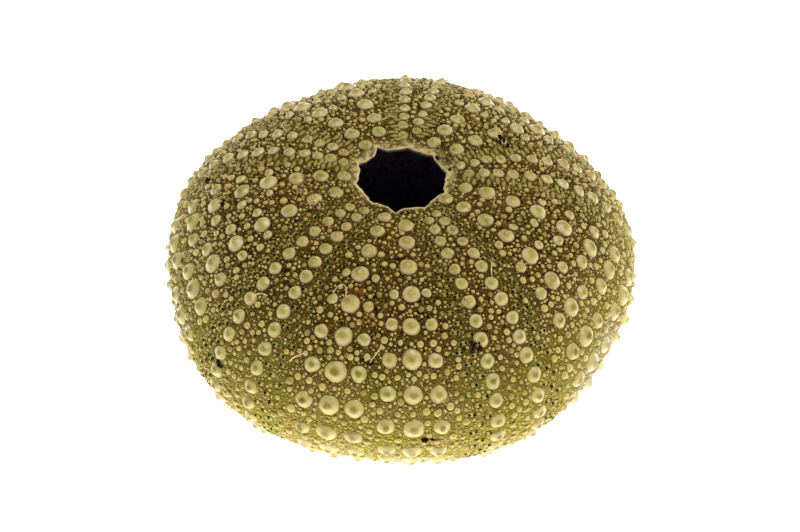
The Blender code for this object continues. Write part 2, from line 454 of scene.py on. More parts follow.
# Strewn wherever there is room; below the ambitus they get larger
MEDIUM_TRIES = 8000
MEDIUM_SMALLEST = 0.2
MEDIUM_LARGEST = (0.34, 0.44)
MEDIUM_GROWTH = (0.6, 50)
MEDIUM_TALLNESS = 0.85
MEDIUM_GAP = 0.03


def grow_medium(arc_ends):
    """Medium tubercles: in series along the plates, at the ends of the pore arcs, and strewn."""
    for middle, side, rows in interambulacral_columns():
        for at in rows:
            for offset, down, radius, begin, stop in SERIES:
                stray = medium.chance.uniform(-SERIES_STRAY, SERIES_STRAY)
                place = at + down * plate_height(INTERAMBULACRAL_PLATE, at) + stray
                if begin < place < stop:
                    size = radius * medium.chance.uniform(*SERIES_SIZES) * full_size(place, SERIES_GROWTH)
                    aside = medium.chance.uniform(-SERIES_STRAY_ASIDE, SERIES_STRAY_ASIDE)
                    azimuth = middle + side * offset + meridian.turn(aside, place)
                    medium.grow(place, azimuth, size, size * SERIES_TALLNESS, gap=0.0)
    for middle, side, rows in ambulacral_columns():
        for at in rows:
            for down in BETWEEN_PORES_DOWN:
                stray = medium.chance.uniform(-BETWEEN_PORES_STRAY, BETWEEN_PORES_STRAY)
                place = at + down * plate_height(AMBULACRAL_PLATE, at) + stray
                size = medium.chance.uniform(*BETWEEN_PORES_SIZES) * full_size(place, SERIES_GROWTH)
                offset = 0.0
                if place > ONE_COLUMN_TO:
                    offset = meridian.turn(medium.chance.uniform(*BETWEEN_PORES_ASIDE), place)
                medium.grow(place, middle + side * offset, size, size * SERIES_TALLNESS, gap=0.0)
    for at, azimuth in arc_ends:
        size = medium.chance.uniform(*ARC_BEAD_SIZES)
        medium.grow(at, azimuth, size, size * ARC_BEAD_TALLNESS, gap=-ARC_BEAD_OVERLAP)
    for _ in range(MEDIUM_TRIES):
        at, azimuth = anywhere(medium.chance)
        largest = MEDIUM_LARGEST[at >= GROWN_AT]
        size = medium.chance.uniform(MEDIUM_SMALLEST, largest) * full_size(at, MEDIUM_GROWTH)
        medium.grow(at, azimuth, size, size * MEDIUM_TALLNESS, gap=MEDIUM_GAP)


spread = np.cumsum(meridian.radius)


def anywhere(chance):
    """A place and azimuth drawn evenly over the wall's area."""
    at = float(np.interp(chance.random() * spread[-1], spread, meridian.length))
    return at, chance.uniform(-math.pi, math.pi)


# Small knobs, strewn: tries, sizes, height by the radius, and the gap to the next
GRANULES = (36000, (0.10, 0.19), 1.0, -0.01)
BEADS = (190000, (0.05, 0.11), 1.3, -0.02)


def strew(growth, tries, sizes, tallness, gap):
    """Small knobs wherever there is still room."""
    for _ in range(tries):
        at, azimuth = anywhere(growth.chance)
        size = growth.chance.uniform(*sizes)
        growth.grow(at, azimuth, size, size * tallness, gap=gap)


grow_large()
grow_medium(grow_pores())
strew(granules, *GRANULES)
strew(beads, *BEADS)

WELD = 1e-5


def spun_shape(name, profile, segments, smooth=True):
    """A small solid of revolution about Z, standing on its open rim, with its own height kept as rise."""
    bm = bmesh.new()
    rise = bm.verts.layers.float.new("rise")
    chain = [bm.verts.new((r, 0, z)) for r, z in profile]
    edges = [bm.edges.new(pair) for pair in zip(chain, chain[1:])]
    bmesh.ops.spin(
        bm,
        geom=chain + edges,
        cent=(0, 0, 0),
        axis=(0, 0, 1),
        dvec=(0, 0, 0),
        angle=2 * math.pi,
        steps=segments,
        use_merge=True,
        use_duplicate=False,
    )
    bmesh.ops.remove_doubles(bm, verts=bm.verts, dist=WELD)
    bmesh.ops.recalc_face_normals(bm, faces=bm.faces)
    top = max(bm.faces, key=lambda f: f.calc_center_median().z)
    if top.normal.z < 0:
        bmesh.ops.reverse_faces(bm, faces=bm.faces)
    for vertex in bm.verts:
        vertex[rise] = vertex.co.z
    for face in bm.faces:
        face.smooth = smooth
    mesh = bpy.data.meshes.new(name)
    bm.to_mesh(mesh)
    bm.free()
    return mesh


class Graph:
    """Adds nodes to a tree: type, settings, then a value or a link for each named socket."""

    def __init__(self, tree):
        self.tree = tree

    def node(self, kind, settings=None, **values):
        node = self.tree.nodes.new(kind)
        for key, value in (settings or {}).items():
            setattr(node, key, value)
        for key, value in values.items():
            self.put(node.inputs[int(key[1:]) if key[1:].isdigit() else key.replace("_", " ")], value)
        return node

    def put(self, socket, value):
        if isinstance(value, Value):
            value = value.socket
        if isinstance(value, bpy.types.NodeSocket):
            self.tree.links.new(value, socket)
        else:
            socket.default_value = value

    def number(self, operation, *terms):
        """A Math node over numbers and sockets."""
        values = {f"i{k}": term for k, term in enumerate(terms)}
        return Value(self, self.node("ShaderNodeMath", {"operation": operation}, **values).outputs[0])

    def attribute(self, name):
        """A number that the piece's own mesh carries."""
        return Value(self, self.node("ShaderNodeAttribute", {"attribute_name": name}).outputs["Fac"])

    def here(self):
        """The point of the piece that is shaded."""
        return self.node("ShaderNodeTexCoord").outputs["Object"]

    def noise(self, waves, detail):
        """Clouds with so many waves to the millimetre."""
        clouds = self.node("ShaderNodeTexNoise", Vector=self.here(), Scale=waves / MM, Detail=detail)
        return Value(self, clouds.outputs["Fac"])

    def mix(self, factor, a, b):
        """Between two colours by a factor of 0 to 1."""
        blend = self.node("ShaderNodeMix", {"data_type": "RGBA"}, i0=factor, i6=colour(a), i7=colour(b))
        return blend.outputs[2]


def colour(value):
    """A colour given as three numbers gets the fourth that its socket needs."""
    return (*value, 1.0) if isinstance(value, tuple) and len(value) == 3 else value


class Value:
    """A shader number, so that sums over sockets read as sums."""

    def __init__(self, graph, socket):
        self.graph = graph
        self.socket = socket

    def __add__(self, other):
        return self.graph.number("ADD", self, other)

    def __sub__(self, other):
        return self.graph.number("SUBTRACT", self, other)

    def __rsub__(self, other):
        return self.graph.number("SUBTRACT", other, self)

    def __mul__(self, other):
        return self.graph.number("MULTIPLY", self, other)

    __radd__ = __add__
    __rmul__ = __mul__

    def ramp(self, low, high):
        """0 below low, 1 above high, smooth between."""
        smooth = {"interpolation_type": "SMOOTHSTEP"}
        node = self.graph.node("ShaderNodeMapRange", smooth, Value=self, From_Min=low, From_Max=high)
        return Value(self.graph, node.outputs[0])


BUMP_DETAIL = 4.0


def shell_material(name, paint, roughness, gloss, bump_waves, bump_height):
    """A dry calcite surface whose colour the paint function works out from the piece's own attributes."""
    material = bpy.data.materials.new(name)
    material.use_nodes = True
    graph = Graph(material.node_tree)
    surface = material.node_tree.nodes["Principled BSDF"]
    graph.put(surface.inputs["Base Color"], paint(graph))
    surface.inputs["Roughness"].default_value = roughness
    surface.inputs["Specular IOR Level"].default_value = gloss
    pitting = graph.noise(bump_waves, BUMP_DETAIL)
    bump = graph.node("ShaderNodeBump", Strength=1.0, Distance=bump_height * MM, Height=pitting)
    graph.put(surface.inputs["Normal"], bump.outputs[0])
    return material


# Colours, as linear albedo
TUBERCLE_BASE = (0.44, 0.355, 0.17)
TUBERCLE_BODY = (0.37, 0.29, 0.09)
TUBERCLE_TOP = (0.21, 0.175, 0.012)
TUBERCLE_PIT = (0.10, 0.082, 0.004)
GRANULE = (0.38, 0.295, 0.09)
BEAD = (0.30, 0.205, 0.042)
GROUND = (0.008, 0.003, 0.0002)
GROUND_LIGHT = (0.072, 0.038, 0.003)
SOIL = (0.17, 0.12, 0.018)
PORE_ZONE = (0.10, 0.072, 0.008)
PORE_ZONE_FLANK = (0.30, 0.25, 0.035)
PAD = (0.24, 0.187, 0.042)
PAD_FLANK = (0.33, 0.28, 0.07)
# Painted contact shade at the foot of the pore pads
PAD_FOOT_SHADE = (0.04, 0.027, 0.003)
# Painted shade of an open pore
PORE = (0.004, 0.002, 0.0005)
PORE_FILLING = (0.11, 0.07, 0.01)
RIM = (0.40, 0.31, 0.125)
RIM_EDGE = (0.56, 0.46, 0.24)
FLANK = (0.35, 0.28, 0.055)
# Pale tan for dusty patches and for the paler bottom, which is partly painted light from below
FLANK_DUST_AND_UNDERLIGHT = (0.43, 0.345, 0.15)
FLANK_GREEN = (0.30, 0.265, 0.015)
FLANK_CHALK = (0.44, 0.37, 0.21)
# Painted shade for the flank's gaps: dark specks in the ground, darkened beads and the feet of knobs
FLANK_GAP_SHADE = (0.12, 0.085, 0.008)
FLANK_TUBERCLE = (0.35, 0.295, 0.125)
SEAM_TOP = (0.05, 0.028, 0.002)
SEAM_FLANK = (0.36, 0.33, 0.05)
STAIN = (0.18, 0.058, 0.006)
# Inner wall: partly its own dark lining, partly painted shade inside the shell
LINING_AND_INNER_SHADE = (0.05, 0.042, 0.062)
CRUMB = (0.014, 0.008, 0.003)
FIBRE = (0.72, 0.62, 0.40)
SAND_PALE = (0.52, 0.40, 0.20)
SAND_RUSTY = (0.26, 0.12, 0.03)

# Heights between which the darker top passes into the paler, yellower flank, for each kind of surface: partly
# the flank's own colour, partly painted light from below
WALL_PALER_AND_LIT_BELOW = (20.0, 7.0)
LARGE_PALER_AND_LIT_BELOW = (21.0, 14.0)
MEDIUM_PALER_AND_LIT_BELOW = (19.0, 6.0)
BEADS_PALER_AND_LIT_BELOW = (20.0, 8.0)
PORES_PALER_AND_LIT_BELOW = (20.0, 12.0)
DUST_AND_UNDERLIGHT_RISES_TO = (11.0, 3.0)

# Reddish-brown stains in front: place, azimuth in degrees and radius
STAINS = ((15.55, -17.2, 1.3), (17.15, -10.8, 1.4), (14.35, -14.0, 0.9), (18.65, -20.5, 0.9))
# Where the flank is worn and chalky, in the same way
CHALK = ((29.5, 58.0, 4.5), (31.5, 49.0, 3.5), (27.5, 66.0, 3.0))
PATCH_CORE = 0.2


def below(graph, high, low):
    """0 above one height of the shell, 1 under another."""
    height = graph.node("ShaderNodeSeparateXYZ", Vector=graph.here()).outputs["Z"]
    return Value(graph, height).ramp(high * MM, low * MM)


def gathered(graph, places):
    """1 in the middle of each of a few places on the shell, 0 past its radius."""
    amount = 0.0
    for at, degrees, radius in places:
        centre = meridian.point(at, math.radians(degrees)) * MM
        away = graph.node("ShaderNodeVectorMath", {"operation": "DISTANCE"}, i0=graph.here(), i1=centre)
        amount = amount + Value(graph, away.outputs["Value"]).ramp(radius * MM, PATCH_CORE * radius * MM)
    return amount


def with_stains(graph, painted, strength=0.85):
    """Reddish-brown specks that gather at a few places in front."""
    specks = graph.noise(1.3, 2.0).ramp(0.47, 0.56)
    return graph.mix(specks * gathered(graph, STAINS) * strength, painted, STAIN)


def flank_colour(graph):
    """The calcite of the flank: yellowish, with dusty, green and chalky patches, and paler towards the
    bottom, partly as painted light from below.
    """
    # The paler colour rises from the bottom partly as painted light from the floor, mixed with dusty patches
    dust_and_underlight = graph.noise(0.14, 2.0).ramp(0.5, 0.68) * 0.5 + below(graph, *DUST_AND_UNDERLIGHT_RISES_TO) * 0.5
    dusty_and_underlit = graph.mix(dust_and_underlight, FLANK, FLANK_DUST_AND_UNDERLIGHT)
    greenish = graph.mix(graph.noise(0.33, 2.0).ramp(0.52, 0.62) * 0.8, dusty_and_underlit, FLANK_GREEN)
    return graph.mix(gathered(graph, CHALK) * 0.85, greenish, FLANK_CHALK)


def paint_large(graph):
    """Pale skirts that pass into the ground with painted contact shade at the foot, olive crowns and, on the
    flank, a dark pit on top.
    """
    rise, tone = graph.attribute("rise"), graph.attribute("tone")
    low = below(graph, *LARGE_PALER_AND_LIT_BELOW)
    cone = graph.mix(rise.ramp(0.2, 0.9), graph.mix(low, TUBERCLE_BASE, FLANK_TUBERCLE), TUBERCLE_BODY)
    patch = graph.noise(0.6, 2.0).ramp(0.35, 0.7)
    mottled = graph.mix(patch * 0.35, cone, flank_colour(graph))
    soiled = graph.mix(graph.noise(1.2, 3.0).ramp(0.5, 0.7) * (0.6 - 0.3 * low), mottled, SOIL)
    crown = graph.mix(rise.ramp(0.55, 0.84) * (0.3 + 0.3 * tone + 0.35 * low), soiled, TUBERCLE_TOP)
    cap = graph.mix(rise.ramp(0.80, 0.95) * (0.3 + 0.6 * tone) * (0.15 + 0.85 * low), crown, TUBERCLE_PIT)
    # Painted contact shade: the foot of each knob darkens to the ground's colour on top and blends into the
    # flank's colour lower down
    foot = graph.mix(low, GROUND_LIGHT, flank_colour(graph))
    rooted = graph.mix(rise.ramp(0.25 + 0.2 * low, -0.05) * (0.9 - 0.1 * low), cap, foot)
    return with_stains(graph, rooted, 0.3)


def paint_medium(graph):
    """Medium tubercles and granules, some of them soiled, with painted contact shade at their feet."""
    rise, tone = graph.attribute("rise"), graph.attribute("tone")
    low = below(graph, *MEDIUM_PALER_AND_LIT_BELOW)
    body = graph.mix(low * 0.6, graph.mix(tone.ramp(-0.1, 0.6), SOIL, GRANULE), flank_colour(graph))
    cap = graph.mix(rise.ramp(0.75, 1.0) * tone * 0.5, body, TUBERCLE_TOP)
    # Painted contact shade at the foot of each knob, darker on top than on the flank
    foot = graph.mix(low, GROUND_LIGHT, FLANK_GAP_SHADE)
    return with_stains(graph, graph.mix(rise.ramp(0.45, -0.05) * (0.9 - 0.5 * low), cap, foot))


def paint_beads(graph):
    """Beads that take after the ground between them."""
    tone = graph.attribute("tone")
    body = graph.mix(tone.ramp(0.4, 1.0), GROUND_LIGHT, BEAD)
    # Some beads are darkened as painted shade in the gaps on the flank
    gap_shaded = graph.mix(tone.ramp(0.25, 0.0) * 0.7, flank_colour(graph), FLANK_GAP_SHADE)
    return with_stains(graph, graph.mix(below(graph, *BEADS_PALER_AND_LIT_BELOW) * 0.85, body, gap_shaded))


def paint_pads(graph):
    """Olive ridges with a dark foot of painted contact shade."""
    rise, tone = graph.attribute("rise"), graph.attribute("tone")
    low = below(graph, *PORES_PALER_AND_LIT_BELOW)
    # The foot is painted contact shade where the ridges meet the wall
    foot, ridge = graph.mix(low, PAD_FOOT_SHADE, FLANK_GAP_SHADE), graph.mix(low, PAD, PAD_FLANK)
    return graph.mix(rise.ramp(0.0, 0.55) * (0.7 + 0.3 * tone), foot, ridge)


def paint_pores(graph):
    """A ring in the pad's colour round a hole: black painted shade where the pore is open, silt where it is
    filled.
    """
    ring = graph.mix(below(graph, *PORES_PALER_AND_LIT_BELOW), PAD, PAD_FLANK)
    # An open pore is a black disc of painted shade; the wall under it is not pierced
    hollow = graph.mix(graph.attribute("tone").ramp(0.0, 1.0), PORE, PORE_FILLING)
    return graph.mix(graph.attribute("rise").ramp(0.84, 0.97), hollow, ring)


def paint_sand(graph):
    """Pale and rusty grains."""
    return graph.mix(graph.attribute("tone").ramp(0.35, 0.75), SAND_RUSTY, SAND_PALE)


def paint_crumbs(graph):
    """Nearly black crumbs."""
    return graph.mix(graph.noise(4.0, 2.0).ramp(0.5, 0.8), CRUMB, GROUND)


def paint_fibres(graph):
    """Straw-coloured fibres."""
    return graph.mix(graph.noise(1.0, 1.0), FIBRE, BEAD)


def paint_wall(graph):
    """The ground between the knobs, its pore zones and seams, the rim, and the lining, kept dark partly as
    painted shade inside the shell.
    """
    zone, rim, edge, seam, lining = (graph.attribute(name) for name in WALL_LAYERS)
    fine = graph.noise(1.6, 4.0)
    grain = graph.noise(5.0, 3.0)
    low = below(graph, *WALL_PALER_AND_LIT_BELOW)
    ground = graph.mix((0.5 * fine + 0.5 * grain).ramp(0.42, 0.56), GROUND, GROUND_LIGHT)
    # Dark specks of painted shade between the granules on the flank
    shade_speckled = graph.mix(grain.ramp(0.52, 0.38) * 0.75, flank_colour(graph), FLANK_GAP_SHADE)
    cleaner = graph.mix(low * (0.6 + 0.4 * fine), ground, shade_speckled)
    grown = graph.mix(zone * (0.3 + 0.4 * low), cleaner, graph.mix(low, PORE_ZONE, PORE_ZONE_FLANK))
    seams = graph.mix(seam * (0.35 + 0.3 * fine), grown, graph.mix(low, SEAM_TOP, SEAM_FLANK))
    banded = graph.mix(rim * (0.25 + 0.75 * fine.ramp(0.38, 0.6)), seams, RIM)
    edged = graph.mix(edge, banded, RIM_EDGE)
    # The inner wall is near black: partly its own dark lining, partly painted shade inside the shell
    return graph.mix(lining, with_stains(graph, edged), graph.mix(fine.ramp(0.5, 0.7), LINING_AND_INNER_SHADE, GROUND))


# What the wall's mesh says of each point: pore zone, band and edge of the apical rim, plate seam, lining
WALL_LAYERS = ("zone", "rim", "edge", "seam", "lining")


def shown(name, mesh, material):
    """Puts a finished mesh in the scene as a piece of the shell."""
    mesh.materials.clear()
    mesh.materials.append(material)
    piece = bpy.data.objects.new(name, mesh)
    bpy.context.scene.collection.objects.link(piece)
    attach(piece, "root")
    return piece


UNEVEN_WAVES = 1.3
UNEVEN_DETAIL = 2.0


def feet_of(name, knobs):
    """A mesh with a vertex at the foot of each knob, which keeps the knob's turn, size and tone."""
    feet = bpy.data.meshes.new(name + " feet")
    feet.vertices.add(len(knobs))
    places, turns, sizes, tones = zip(*knobs)
    feet.vertices.foreach_set("co", np.array(places, np.float32).ravel() * MM)
    for key, values in (("turn", np.array(turns)), ("size", np.array(sizes) * MM)):
        layer = feet.attributes.new(key, "FLOAT_VECTOR", "POINT")
        layer.data.foreach_set("vector", values.astype(np.float32).ravel())
    feet.attributes.new("tone", "FLOAT", "POINT").data.foreach_set("value", np.array(tones, np.float32))
    return feet


def strayed(graph, copies, uneven):
    """The copies with their surface moved a little, by up to the given distance."""
    clouds = graph.node("ShaderNodeTexNoise", Scale=UNEVEN_WAVES / MM, Detail=UNEVEN_DETAIL).outputs["Color"]
    reach, centre = (Vector((1, 1, 1)) * uneven * MM * share for share in (2.0, -1.0))
    stray = graph.node("ShaderNodeVectorMath", {"operation": "MULTIPLY_ADD"}, i0=clouds, i1=reach, i2=centre)
    return graph.node("GeometryNodeSetPosition", Geometry=copies.outputs[0], Offset=stray.outputs["Vector"])


def scatter(name, shape_mesh, knobs, material, uneven=0.0):
    """One mesh with a copy of the shape on every knob's foot, each keeping its own tone."""
    shape = bpy.data.objects.new(name + " shape", shape_mesh)
    holder = bpy.data.objects.new(name + " feet", feet_of(name, knobs))
    bpy.context.scene.collection.objects.link(holder)
    tree = bpy.data.node_groups.new(name, "GeometryNodeTree")
    for direction in ("INPUT", "OUTPUT"):
        tree.interface.new_socket("Geometry", in_out=direction, socket_type="NodeSocketGeometry")
    graph = Graph(tree)
    copy = graph.node("GeometryNodeObjectInfo", {"transform_space": "ORIGINAL"}, Object=shape)
    turn, size = (
        graph.node("GeometryNodeInputNamedAttribute", {"data_type": "FLOAT_VECTOR"}, Name=key).outputs[0]
        for key in ("turn", "size")
    )
    copies = graph.node(
        "GeometryNodeInstanceOnPoints",
        Points=graph.node("NodeGroupInput").outputs[0],
        Instance=copy.outputs["Geometry"],
        Rotation=turn,
        Scale=size,
    )
    real = graph.node("GeometryNodeRealizeInstances", Geometry=copies.outputs[0])
    if uneven:
        real = strayed(graph, real, uneven)
    graph.node("NodeGroupOutput", Geometry=real.outputs[0])
    holder.modifiers.new(name, "NODES").node_group = tree
    grown = holder.evaluated_get(bpy.context.evaluated_depsgraph_get())
    mesh = bpy.data.meshes.new_from_object(grown)
    bpy.data.objects.remove(holder)
    bpy.data.objects.remove(shape)
    worn_flat(mesh)
    shown(name, mesh, material)


def worn_flat(mesh):
    """Nothing reaches below the surface that the shell rests on."""
    places = np.empty(len(mesh.vertices) * 3, np.float32)
    mesh.vertices.foreach_get("co", places)
    places[2::3] = np.maximum(places[2::3], 0.0)
    mesh.vertices.foreach_set("co", places)
    mesh.update()


def wall_thickness(at):
    """From the fine wall's face to the solid's lining."""
    at_apex = (WALL - APICAL_EDGE) * math.exp(-(at - meridian.start) / EDGE_TAPER)
    at_mouth = (WALL - MOUTH_EDGE) * math.exp(-(meridian.end - at) / EDGE_TAPER)
    return WALL - at_apex - at_mouth - WALL_DEPTH


def wall_profile():
    """The closed outline that is spun: (place on the meridian, depth below the solid's surface, lining)."""
    outer = np.linspace(meridian.start, meridian.end, OUTER_ROWS).tolist()
    inner = np.linspace(meridian.end, meridian.start, INNER_ROWS).tolist()
    outside = [(at, WALL_DEPTH, 0.0) for at in outer]
    return outside + [(at, WALL_DEPTH + wall_thickness(at), 1.0) for at in inner]


def rim_wear(at, azimuth):
    """The plates round off between the notches of the apical rim, and its edge is worn a little uneven."""
    lobe = (azimuth - FIRST_SECTOR) / (SECTOR / 2)
    aside = 2 * abs(lobe - round(lobe))
    notch = APICAL_NOTCHES[round(lobe) % len(APICAL_NOTCHES)]
    around = Vector((math.sin(azimuth), -math.cos(azimuth), 0.0)) * meridian.start
    uneven = RIM_WEAR * sum(share * noise.noise(around * waves) for waves, share in RIM_WEAR_WAVES)
    near = math.exp(-(((at - meridian.start) / RIM_WEAR_REACH) ** 2))
    return near * (uneven - RIM_ROUNDING * notch * 4 * aside * (1 - aside))


COLUMNS = [*interambulacral_columns()], [*ambulacral_columns()]
PLATES = (INTERAMBULACRAL_PLATE, AMBULACRAL_PLATE)
AMBULACRAL_EDGE = math.radians(15.5)


def seam(at, azimuth):
    """1 on the seams between plates, fading to 0 beside them."""
    from_middle = (azimuth - FIRST_SECTOR + SECTOR / 2) % SECTOR - SECTOR / 2
    from_ambulacrum = SECTOR / 2 - abs(from_middle)
    ambulacral = from_ambulacrum < AMBULACRAL_EDGE
    nearest = min(abs(from_middle), from_ambulacrum, abs(from_ambulacrum - AMBULACRAL_EDGE))
    upright = nearest * meridian.read(meridian.radius, at)
    turned = azimuth - FIRST_SECTOR - (SECTOR / 2 if ambulacral else 0.0)
    sector = round(turned / SECTOR)
    side = 1 if turned > sector * SECTOR else -1
    column = COLUMNS[ambulacral][2 * (sector % SECTORS) + (side > 0)]
    plate = PLATES[ambulacral]
    level = min(abs(at - row - plate_height(plate, row) / 2) for row in column[2])
    return smoothstep(SEAM_WIDTH, SEAM_WIDTH / 4, min(level, upright))


def build_wall():
    """The wall, spun from its outline, then notched, swollen and marked."""
    outline = wall_profile()
    bm = bmesh.new()
    row = bm.verts.layers.int.new("row")
    layers = {key: bm.verts.layers.float.new(key) for key in WALL_LAYERS}
    chain = []
    for k, (at, depth, _) in enumerate(outline):
        vertex = bm.verts.new(meridian.point(at, 0.0, -depth))
        vertex[row] = k
        chain.append(vertex)
    edges = [bm.edges.new(pair) for pair in zip(chain, chain[1:] + chain[:1])]
    bmesh.ops.spin(
        bm,
        geom=chain + edges,
        cent=(0, 0, 0),
        axis=(0, 0, 1),
        dvec=(0, 0, 0),
        angle=2 * math.pi,
        steps=WALL_STEPS,
        use_merge=True,
        use_duplicate=False,
    )
    bmesh.ops.recalc_face_normals(bm, faces=bm.faces)
    for vertex in bm.verts:
        at, depth, lining = outline[vertex[row]]
        azimuth = math.atan2(vertex.co.x, -vertex.co.y)
        shown_side = 1 - lining
        from_middle = (azimuth - FIRST_SECTOR + SECTOR / 2) % SECTOR - SECTOR / 2
        off = math.degrees(SECTOR / 2 - abs(from_middle))
        from_rim = at - meridian.start
        wide, narrow = (share * rim_band(azimuth) for share in RIM_BAND_FADE)
        vertex[layers["zone"]] = smoothstep(*PORE_ZONE_INSIDE, off) * smoothstep(*PORE_ZONE_OUTSIDE, off)
        vertex[layers["rim"]] = smoothstep(wide, narrow, from_rim) * shown_side
        vertex[layers["edge"]] = smoothstep(*RIM_EDGE_FADE, from_rim) * shown_side
        vertex[layers["seam"]] = seam(at, azimuth) * shown_side
        vertex[layers["lining"]] = lining
        raised = -depth if lining else swell(at, azimuth) - depth
        place = at + rim_shift(at, azimuth) + rim_wear(at, azimuth)
        vertex.co = meridian.point(place, azimuth, raised) * MM
    for face in bm.faces:
        face.smooth = True
    mesh = bpy.data.meshes.new("wall")
    bm.to_mesh(mesh)
    bm.free()
    worn_flat(mesh)
    material = shell_material("ground_calcite", paint_wall, 0.85, 0.05, 4.0, 0.1)
    wall = shown("wall", mesh, material)
    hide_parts("urchin_shell")


# Profiles of the knobs as shares of their radius and height
TUBERCLE_PROFILE = (
    (1.1, -0.3),
    (1.02, 0.03),
    (0.90, 0.20),
    (0.75, 0.39),
    (0.60, 0.57),
    (0.49, 0.68),
    (0.42, 0.76),
    (0.34, 0.89),
    (0.19, 0.975),
    (0.0, 1.0),
)
DOME_PROFILE = ((1.0, -0.3), (0.96, 0.3), (0.76, 0.68), (0.42, 0.93), (0.0, 1.0))
GRANULE_PROFILE = ((1.05, -0.3), (0.82, 0.62), (0.0, 1.0))
BEAD_PROFILE = ((1.0, -0.3), (0.78, 0.6), (0.0, 1.0))
PORE_PROFILE = ((1.38, -0.5), (1.27, 0.75), (1.12, 1.0), (0.97, 0.82), (0.0, 0.75))

LARGE_SEGMENTS = 16
MEDIUM_SEGMENTS = 9
PAD_SEGMENTS = 10
PORE_SEGMENTS = 8
GRANULE_SEGMENTS = 6
BEAD_SEGMENTS = 4
LITTER_SEGMENTS = 5
LARGE_UNEVEN = 0.16
MEDIUM_UNEVEN = 0.09

# Skins: roughness, gloss, then the waves to the millimetre and the height of the fine pitting
tubercle_skin = shell_material("tubercle_calcite", paint_large, 0.42, 0.28, 2.5, 0.08)
medium_skin = shell_material("granule_calcite", paint_medium, 0.45, 0.25, 5.0, 0.03)
bead_skin = shell_material("bead_calcite", paint_beads, 0.5, 0.2, 5.0, 0.01)
pad_skin = shell_material("pore_pad_calcite", paint_pads, 0.6, 0.15, 5.0, 0.02)
pore_skin = shell_material("pore_rim_calcite", paint_pores, 0.9, 0.0, 5.0, 0.01)
sand_skin = shell_material("sand", paint_sand, 0.5, 0.3, 6.0, 0.01)
crumb_skin = shell_material("dark_crumbs", paint_crumbs, 0.95, 0.05, 6.0, 0.02)
fibre_skin = shell_material("dry_fibre", paint_fibres, 0.6, 0.2, 2.0, 0.01)


def build_knobs():
    """Every kind of knob as a piece; the smallest kinds are split at the ambitus."""
    tubercle = spun_shape("large", TUBERCLE_PROFILE, LARGE_SEGMENTS)
    scatter("large_tubercles", tubercle, large.knobs, tubercle_skin, LARGE_UNEVEN)
    dome = spun_shape("medium", DOME_PROFILE, MEDIUM_SEGMENTS)
    scatter("medium_tubercles", dome, medium.knobs, medium_skin, MEDIUM_UNEVEN)
    granule = spun_shape("granule", GRANULE_PROFILE, GRANULE_SEGMENTS)
    bead = spun_shape("bead", BEAD_PROFILE, BEAD_SEGMENTS)
    for part, upper in (("above_ambitus", True), ("below_ambitus", False)):
        kept = [knob for knob in granules.knobs if (knob[0].z > AMBITUS) == upper]
        scatter("granules_" + part, granule, kept, medium_skin)
        kept = [knob for knob in beads.knobs if (knob[0].z > AMBITUS) == upper]
        scatter("beads_" + part, bead, kept, bead_skin)
    scatter("pore_pads", spun_shape("pad", DOME_PROFILE, PAD_SEGMENTS), pads.knobs, pad_skin)
    scatter("pore_pairs", spun_shape("pore", PORE_PROFILE, PORE_SEGMENTS), pores.knobs, pore_skin)


build_wall()
build_knobs()

# Sand: single grains, then clumps by place, azimuth in degrees and reach
SAND_GRAINS = 170
SAND_SIZES = (0.05, 0.11)
SAND_TALLNESS = 2.4
SAND_STRETCH = (0.7, 1.5)
SAND_CLUMPS = (
    (9.25, -83.0, 0.5),
    (10.05, -77.2, 0.4),
    (6.9, -71.5, 0.5),
    (8.8, -62.2, 0.3),
    (18.4, -88.5, 0.4),
    (13.4, 90.8, 0.7),
    (7.9, -168.0, 0.3),
    (12.05, 124.5, 0.4),
    (16.2, 21.0, 0.4),
    (24.6, 10.5, 0.4),
)
CLUMP_GRAINS = 16
CLUMP_SIZES = (0.06, 0.13)
CLUMP_HEIGHTS = (0.25, 0.5)
CLUMP_STRETCH = (0.6, 2.0)
# Dark crumbs by place, azimuth in degrees, reach and coarseness
CRUMB_PLACES = (
    (11.5, 127.4, 0.6, 1.6),
    (11.3, 124.0, 0.45, 1.4),
    (19.75, 22.6, 0.4, 1.2),
    (28.7, 7.3, 0.3, 0.9),
    (20.95, -7.5, 0.3, 0.9),
    (26.5, -46.8, 0.3, 0.9),
    (20.2, -101.2, 0.3, 1.0),
    (17.9, -86.0, 0.2, 0.8),
    (4.2, 129.5, 0.12, 0.6),
    (4.45, 104.2, 0.12, 0.6),
)
CRUMB_GRAINS = 14
CRUMB_SIZES = (0.06, 0.15)
CRUMB_HEIGHTS = (0.14, 0.3)
CRUMB_ROOT = 0.08
CRUMB_STRETCH = (0.5, 1.8)


def strew_sand():
    """Sand grains all over, and clumps of them where they stuck."""
    chance = sand.chance
    for _ in range(SAND_GRAINS):
        at, azimuth = anywhere(chance)
        grain = chance.uniform(*SAND_SIZES)
        sand.grow(at, azimuth, grain, grain * SAND_TALLNESS, stretch=chance.uniform(*SAND_STRETCH))
    for at, degrees, reach in SAND_CLUMPS:
        for _ in range(CLUMP_GRAINS):
            grain = chance.uniform(*CLUMP_SIZES)
            place = at + chance.gauss(0.0, reach)
            azimuth = math.radians(degrees) + meridian.turn(chance.gauss(0.0, reach), place)
            tall = chance.uniform(*CLUMP_HEIGHTS)
            sand.grow(place, azimuth, grain, tall, stretch=chance.uniform(*CLUMP_STRETCH))


